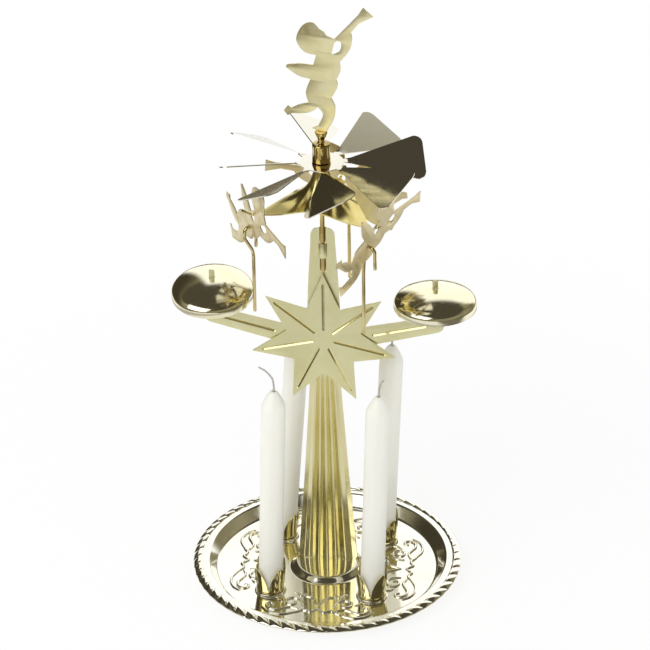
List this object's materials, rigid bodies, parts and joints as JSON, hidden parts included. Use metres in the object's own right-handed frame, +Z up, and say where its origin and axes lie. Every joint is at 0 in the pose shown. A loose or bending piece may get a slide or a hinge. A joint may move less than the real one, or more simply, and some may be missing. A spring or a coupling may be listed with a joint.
{
  "type": "angel chime",
  "caption": "Candle-driven angel chime: warm air turns a bladed rotor whose hanging angels trail clappers past bells on a star-fronted stem over a round tray.",
  "frame": {"origin": "on the table under the spindle, at the middle of the tray's underside", "axes": "+Z up along the spindle; the star faces -Y; the bells stand on the X axis"},
  "size_m": [0.143, 0.13, 0.2984],
  "materials": {
    "polished_brass": "polished",
    "brushed_brass": "pale matt gold, finely brushed",
    "satin_brass": "satin",
    "wire_brass": "drawn wire",
    "white_wax": "smooth wax",
    "cotton": "braided cotton"
  },
  "bodies": {
    "base": {"tray": "polished_brass", "cup_front_left": "polished_brass", "cup_front_right": "polished_brass", "cup_back_right": "polished_brass", "cup_back_left": "polished_brass", "rivet_front_left": "polished_brass", "rivet_front_right": "polished_brass", "rivet_back_right": "polished_brass", "rivet_back_left": "polished_brass", "stem": "brushed_brass", "crossbar": "brushed_brass", "star": "brushed_brass"},
    "spindle": {"spindle": "wire_brass"},
    "rotor": {"rotor": "polished_brass", "hanger": "polished_brass", "hub": "polished_brass", "bearing": "wire_brass", "angel_top": "satin_brass"},
    "angel_left": {"angel_left": "satin_brass"},
    "clapper_left": {"clapper_left": "wire_brass"},
    "angel_right": {"angel_right": "satin_brass"},
    "clapper_right": {"clapper_right": "wire_brass"},
    "angel_back": {"angel_back": "satin_brass"},
    "clapper_back": {"clapper_back": "wire_brass"},
    "bell_left": {"bell_left": "polished_brass"},
    "bell_right": {"bell_right": "polished_brass"},
    "candle_front_left": {"candle_front_left": "white_wax", "wick_front_left": "cotton"},
    "candle_front_right": {"candle_front_right": "white_wax", "wick_front_right": "cotton"},
    "candle_back_right": {"candle_back_right": "white_wax", "wick_back_right": "cotton"},
    "candle_back_left": {"candle_back_left": "white_wax", "wick_back_left": "cotton"}
  },
  "joints": [
    {"name": "spindle_lift", "type": "slide", "parent": "base", "child": "spindle", "axis": [0, 0, 1], "range_m": [0, 0.02]},
    {"name": "rotor_spin", "type": "hinge", "parent": "spindle", "child": "rotor", "pos_m": [0, 0, 0.219], "axis": [0, 0, 1], "continuous": true},
    {"name": "angel_swing_left", "type": "hinge", "parent": "rotor", "child": "angel_left", "pos_m": [-0.03025, -0.01161, 0.19645], "axis": [0.9336, 0.3584, 0], "range_deg": [-15, 4]},
    {"name": "clapper_swing_left", "type": "hinge", "parent": "angel_left", "child": "clapper_left", "pos_m": [-0.03245, -0.00794, 0.1883], "axis": [0.8572, 0.515, 0], "range_deg": [-10, 4]},
    {"name": "angel_swing_right", "type": "hinge", "parent": "rotor", "child": "angel_right", "pos_m": [0.02747, -0.02225, 0.19798], "axis": [-0.6518, 0.5278, -0.5446], "range_deg": [-15, 15]},
    {"name": "clapper_swing_right", "type": "hinge", "parent": "angel_right", "child": "clapper_right", "pos_m": [0.02471, -0.02524, 0.18969], "axis": [-0.8988, 0.4384, 0], "range_deg": [-10, 10]},
    {"name": "angel_swing_back", "type": "hinge", "parent": "rotor", "child": "angel_back", "pos_m": [0.00507, 0.032, 0.19645], "axis": [-0.1564, -0.9877, 0], "range_deg": [-15, 15]},
    {"name": "clapper_swing_back", "type": "hinge", "parent": "angel_back", "child": "clapper_back", "pos_m": [0.0088, 0.03141, 0.18802], "axis": [-0.1564, -0.9877, 0], "range_deg": [-10, 10]},
    {"name": "bell_spin_left", "type": "hinge", "parent": "base", "child": "bell_left", "pos_m": [-0.0522, -0.00085, 0.157], "axis": [0, -0.1392, 0.9903], "continuous": true},
    {"name": "bell_spin_right", "type": "hinge", "parent": "base", "child": "bell_right", "pos_m": [0.0522, -0.00085, 0.157], "axis": [0, 0, 1], "continuous": true},
    {"name": "candle_lift_front_left", "type": "slide", "parent": "base", "child": "candle_front_left", "axis": [0.0349, 0, 0.9994], "range_m": [0, 0.02]},
    {"name": "candle_lift_front_right", "type": "slide", "parent": "base", "child": "candle_front_right", "axis": [0.0349, 0, 0.9994], "range_m": [0, 0.02]},
    {"name": "candle_lift_back_right", "type": "slide", "parent": "base", "child": "candle_back_right", "axis": [0.0436, 0, 0.999], "range_m": [0, 0.02]},
    {"name": "candle_lift_back_left", "type": "slide", "parent": "base", "child": "candle_back_left", "axis": [0.0785, 0, 0.9969], "range_m": [0, 0.02]}
  ]
}
